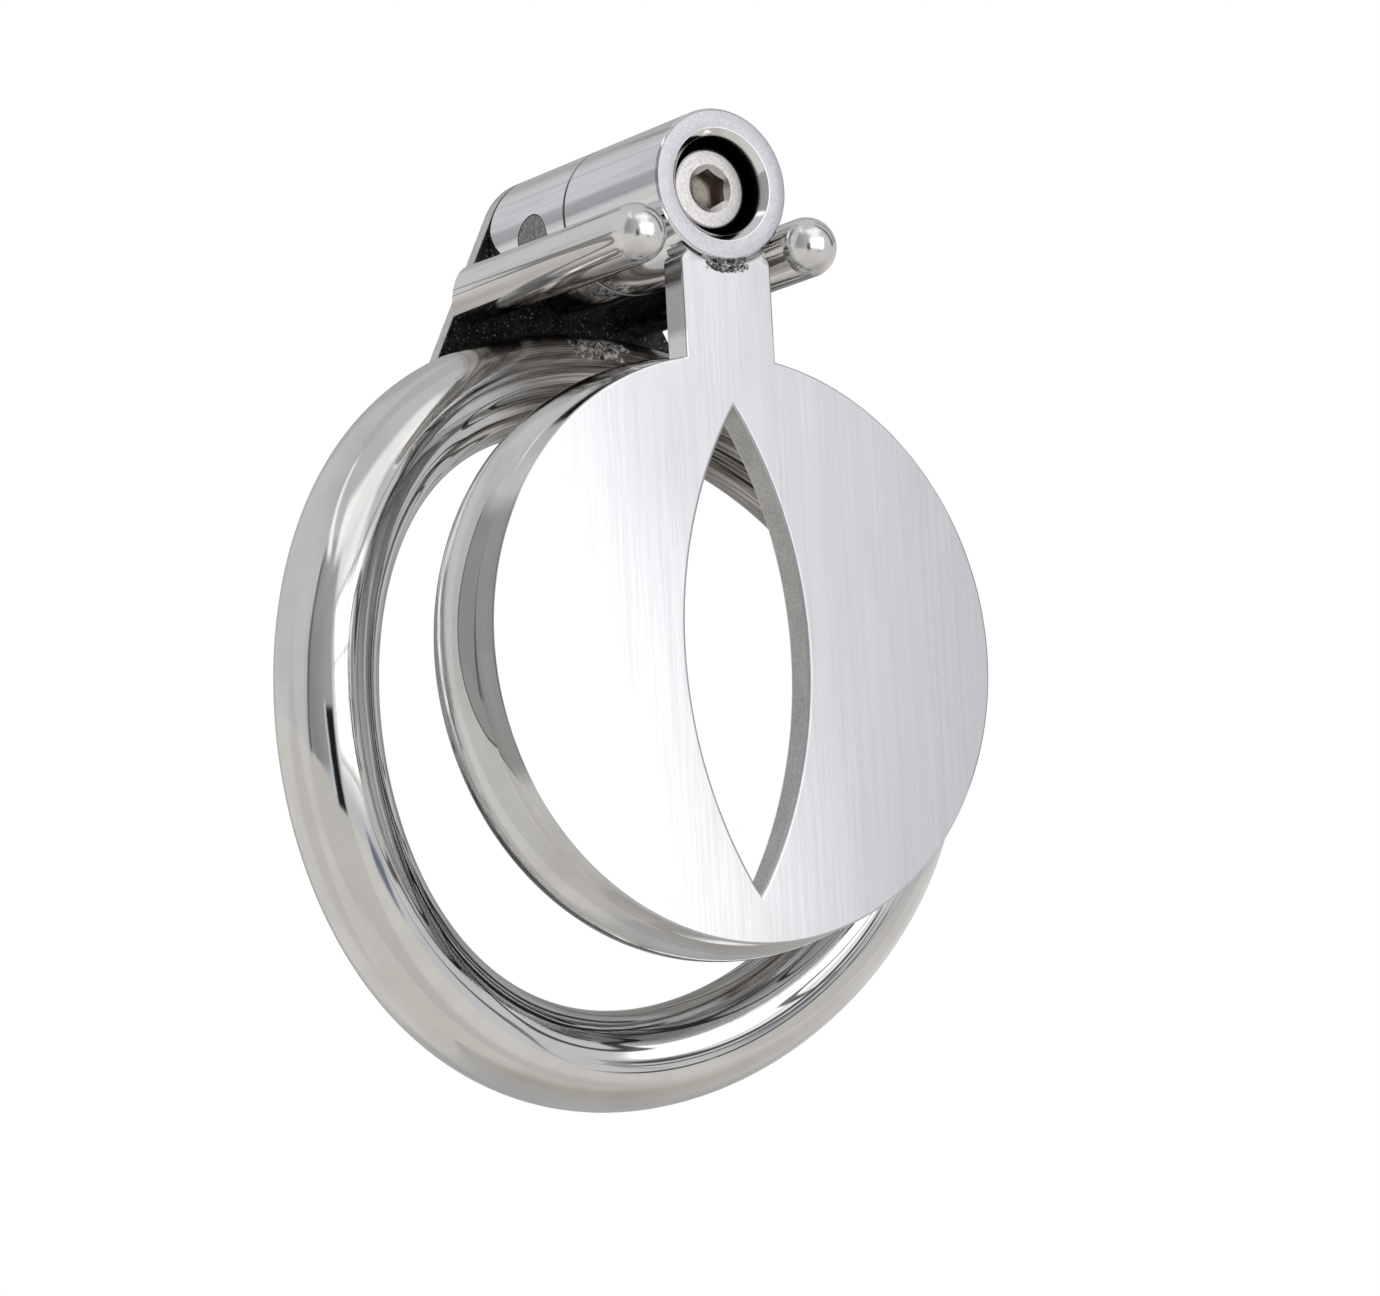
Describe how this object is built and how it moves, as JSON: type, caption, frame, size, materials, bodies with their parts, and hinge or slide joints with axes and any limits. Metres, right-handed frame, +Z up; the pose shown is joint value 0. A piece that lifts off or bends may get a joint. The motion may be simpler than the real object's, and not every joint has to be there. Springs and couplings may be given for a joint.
{
  "type": "flat chastity device",
  "caption": "Polished steel base ring with a slotted round front plate, joined by a screwed barrel that slides on guide rods: a wearable flat chastity device.",
  "frame": {"origin": "centre of the base ring's opening, on the ring's middle plane", "axes": "+Z up to the barrel, -Y forward to the front plate, +X to the right seen from the front"},
  "size_m": [0.0676, 0.0319, 0.0821],
  "materials": {
    "polished_steel": "mirror polished round bar, rods, rim and barrel",
    "brushed_steel": "fine upright brushing with bright rounded edges",
    "rough_steel": "dark, as welded",
    "weld": "rough bright weld bead",
    "dowel_end": "matte speckled end grain, ground flush",
    "screw_steel": "satin turned face"
  },
  "bodies": {
    "base": {"base_ring": "polished_steel", "bracket_plate": "rough_steel", "rear_barrel": "polished_steel", "thread_insert": "screw_steel", "insert_dowel": "dowel_end", "left_guide_rod": "polished_steel", "right_guide_rod": "polished_steel", "ring_weld": "weld", "bracket_weld": "weld"},
    "front": {"front_barrel": "polished_steel", "front_plate": "brushed_steel", "plate_rim": "polished_steel", "neck_weld": "weld"},
    "screw": {"clamp_screw": "screw_steel"}
  },
  "joints": [
    {"name": "front_slide", "type": "slide", "parent": "base", "child": "front", "axis": [0, -1, 0], "range_m": [0, 0.022]},
    {"name": "screw_turn", "type": "hinge", "parent": "front", "child": "screw", "pos_m": [0, -0.02005, 0.0418], "axis": [0, -1, 0], "continuous": true}
  ]
}
